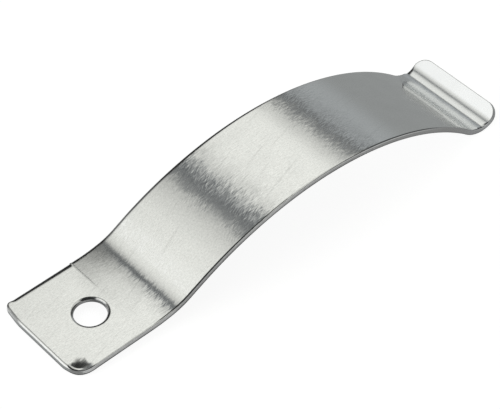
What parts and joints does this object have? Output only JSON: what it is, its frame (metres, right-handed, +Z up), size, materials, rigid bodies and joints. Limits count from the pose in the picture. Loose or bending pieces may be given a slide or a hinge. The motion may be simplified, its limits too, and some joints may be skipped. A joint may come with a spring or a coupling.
{
  "type": "picture frame spring clip",
  "caption": "Bent strip of spring steel with a flat foot and screw hole, a long sprung arch, and a trough with an upturned lip that presses the backing into a picture frame.",
  "frame": {"origin": "middle of the screw hole on the underside of the foot", "axes": "+X along the strip from the foot to the lip, +Y across it, +Z up the screw, away from the surface that the foot is fixed to"},
  "size_m": [0.0599, 0.012, 0.0104],
  "materials": {
    "plated_steel": "bright plated spring steel, semi-gloss, with fine lengthwise brushing"
  },
  "bodies": {
    "root": {"spring_clip": "plated_steel"}
  },
  "joints": []
}
